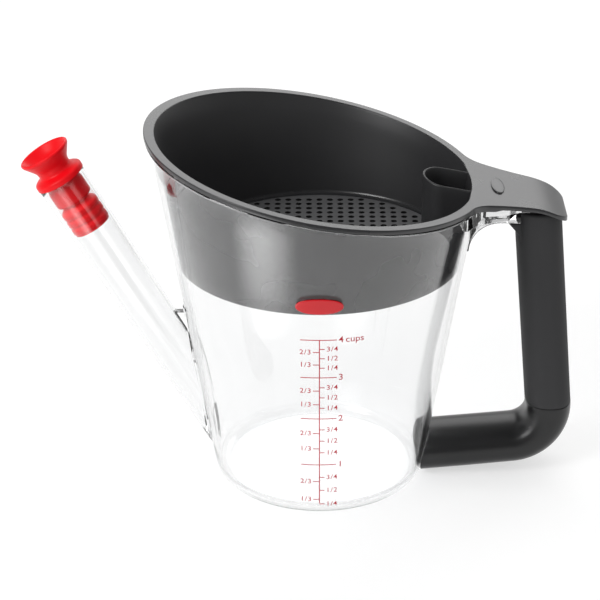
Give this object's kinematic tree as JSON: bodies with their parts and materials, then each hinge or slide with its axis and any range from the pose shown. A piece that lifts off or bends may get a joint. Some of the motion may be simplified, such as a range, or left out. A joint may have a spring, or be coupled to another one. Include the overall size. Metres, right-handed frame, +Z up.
{
  "type": "gravy fat separator",
  "caption": "Clear conical jug with a low pouring spout and stopper, a drop-in strainer with a vent chute, and a closed handle with a soft grip.",
  "frame": {"origin": "middle of the flat base, on the surface that the jug stands on, on the axis of the conical wall", "axes": "+Z up along the jug's axis, +X towards the handle, -X towards the spout, -Y towards the front with the measuring scale"},
  "size_m": [0.2527, 0.152, 0.1734],
  "materials": {
    "clear_plastic": "clear polished plastic",
    "black_plastic": "satin black hard plastic",
    "soft_grip": "matt soft-touch rubber",
    "strainer_plastic": "satin black moulded plastic",
    "red_badge": "glossy red",
    "red_silicone": "satin silicone"
  },
  "bodies": {
    "jug": {"pitcher_body": "clear_plastic", "pour_spout": "clear_plastic", "handle_core": "black_plastic", "handle_grip": "soft_grip", "badge": "red_badge"},
    "strainer": {"strainer": "strainer_plastic"},
    "stopper": {"stopper": "red_silicone"}
  },
  "joints": [
    {"name": "strainer_lift", "type": "slide", "parent": "jug", "child": "strainer", "axis": [0, 0, 1], "range_m": [0, 0.12]},
    {"name": "stopper_pull", "type": "slide", "parent": "jug", "child": "stopper", "axis": [-0.4909, 0, 0.8712], "range_m": [0, 0.05]}
  ]
}
